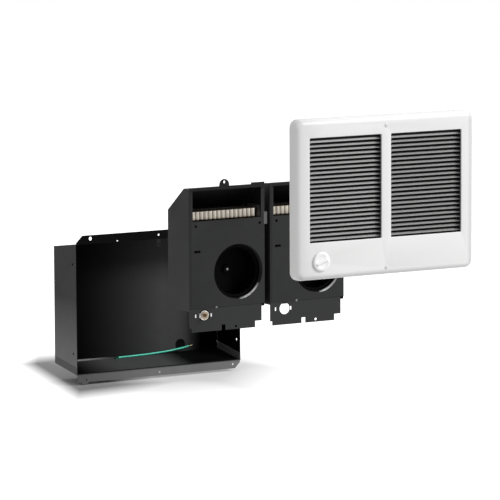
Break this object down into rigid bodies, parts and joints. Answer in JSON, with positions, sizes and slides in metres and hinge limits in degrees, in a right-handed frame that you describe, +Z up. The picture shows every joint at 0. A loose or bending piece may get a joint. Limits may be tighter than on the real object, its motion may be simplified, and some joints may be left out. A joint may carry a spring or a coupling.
{
  "type": "in-wall fan heater",
  "caption": "Recessed wall fan heater drawn out of its steel wall can: blower heaters with pleated elements, a white louvred grille and a thermostat knob.",
  "frame": {"origin": "centre of the wall can's back face", "axes": "+Y into the wall, square to the can's back face, so the grille faces -Y; +X to the right seen from the room; +Z up"},
  "size_m": [0.39, 0.9824, 0.6113],
  "materials": {
    "black_steel": "semi-gloss black enamel",
    "black_satin": "satin black enamel",
    "zinc": "galvanised sheet",
    "bright_steel": "bright nickel-plated steel",
    "lamination": "varnished laminations",
    "copper_winding": "enamelled winding under tape",
    "element_ceramic": "cream coated element",
    "mica": "mica board",
    "dark_resin": "phenolic moulding",
    "wheel_resin": "heat-proof black moulding",
    "brass": "plain brass",
    "ground_green": "green wire insulation",
    "ground_green_metal": "green-dyed screw",
    "white_paint": "satin white powder coat",
    "louvre_paint": "satin white powder coat",
    "white_screw": "white painted screw",
    "white_resin": "white moulding"
  },
  "bodies": {
    "wall_can": {"can_wrap": "black_steel", "can_side_left": "black_steel", "can_side_right": "black_steel", "can_seam_left": "black_steel", "can_seam_right": "black_steel", "knockout_left": "black_steel", "knockout_right": "black_steel", "grille_screw_ear": "black_steel", "ground_screw": "ground_green_metal", "ground_wire": "ground_green"},
    "heater_left": {"left_front_plate": "black_satin", "left_side_left": "black_satin", "left_side_right": "black_satin", "left_housing_wrap": "black_satin", "left_rivet": "zinc", "left_edge_clip": "bright_steel", "left_inlet_ring": "zinc", "left_scroll": "zinc", "left_motor_plate": "zinc", "left_bridge_front": "zinc", "left_bridge_rear": "zinc", "left_stator": "lamination", "left_coil": "copper_winding", "left_element_ribbon": "element_ceramic", "left_element_support_left": "mica", "left_element_support_right": "mica", "left_limit_switch": "bright_steel", "thermostat_bracket": "bright_steel", "thermostat_body": "dark_resin", "thermostat_collar": "brass"},
    "heater_right": {"right_front_plate": "black_satin", "right_side_left": "black_satin", "right_side_right": "black_satin", "right_housing_wrap": "black_satin", "right_rivet": "zinc", "right_edge_clip": "bright_steel", "right_inlet_ring": "zinc", "right_scroll": "zinc", "right_motor_plate": "zinc", "right_bridge_front": "zinc", "right_bridge_rear": "zinc", "right_stator": "lamination", "right_coil": "copper_winding", "right_element_ribbon": "element_ceramic", "right_element_support_left": "mica", "right_element_support_right": "mica", "right_limit_switch": "bright_steel"},
    "fan_left": {"left_wheel_disc": "wheel_resin", "left_wheel_cage": "wheel_resin", "left_rotor_shaft": "bright_steel"},
    "fan_right": {"right_wheel_disc": "wheel_resin", "right_wheel_cage": "wheel_resin", "right_rotor_shaft": "bright_steel"},
    "thermostat_shaft": {"thermostat_shaft": "brass"},
    "grille": {"grille_frame": "white_paint", "louvres_left": "louvre_paint", "louvres_right": "louvre_paint", "grille_screw_top": "white_screw", "grille_screw_bottom": "white_screw"},
    "knob": {"knob": "white_resin"}
  },
  "joints": [
    {"name": "heater_left_pull", "type": "slide", "parent": "wall_can", "child": "heater_left", "axis": [0, -0.9373, 0.3486], "range_m": [-0.466, 0]},
    {"name": "heater_right_pull", "type": "slide", "parent": "wall_can", "child": "heater_right", "axis": [0, -0.9373, 0.3486], "range_m": [-0.466, 0]},
    {"name": "grille_pull", "type": "slide", "parent": "heater_left", "child": "grille", "axis": [0, -0.9373, 0.3486], "range_m": [-0.44, 0]},
    {"name": "knob_turn", "type": "hinge", "parent": "grille", "child": "knob", "pos_m": [-0.142, -0.97128, 0.19281], "axis": [0, -1, 0], "range_deg": [-135, 135]},
    {"name": "thermostat_shaft_turn", "type": "hinge", "parent": "heater_left", "child": "thermostat_shaft", "pos_m": [-0.142, -0.53457, 0.03943], "axis": [0, -1, 0], "range_deg": [-140, 140]},
    {"name": "fan_left_spin", "type": "hinge", "parent": "heater_left", "child": "fan_left", "pos_m": [-0.0655, -0.50457, 0.11993], "axis": [0, -1, 0], "continuous": true},
    {"name": "fan_right_spin", "type": "hinge", "parent": "heater_right", "child": "fan_right", "pos_m": [0.1155, -0.50457, 0.11993], "axis": [0, -1, 0], "continuous": true}
  ],
  "couplings": [
    {"joint": "heater_right_pull", "follows": "heater_left_pull", "ratio": 1},
    {"joint": "thermostat_shaft_turn", "follows": "knob_turn", "ratio": 1}
  ]
}
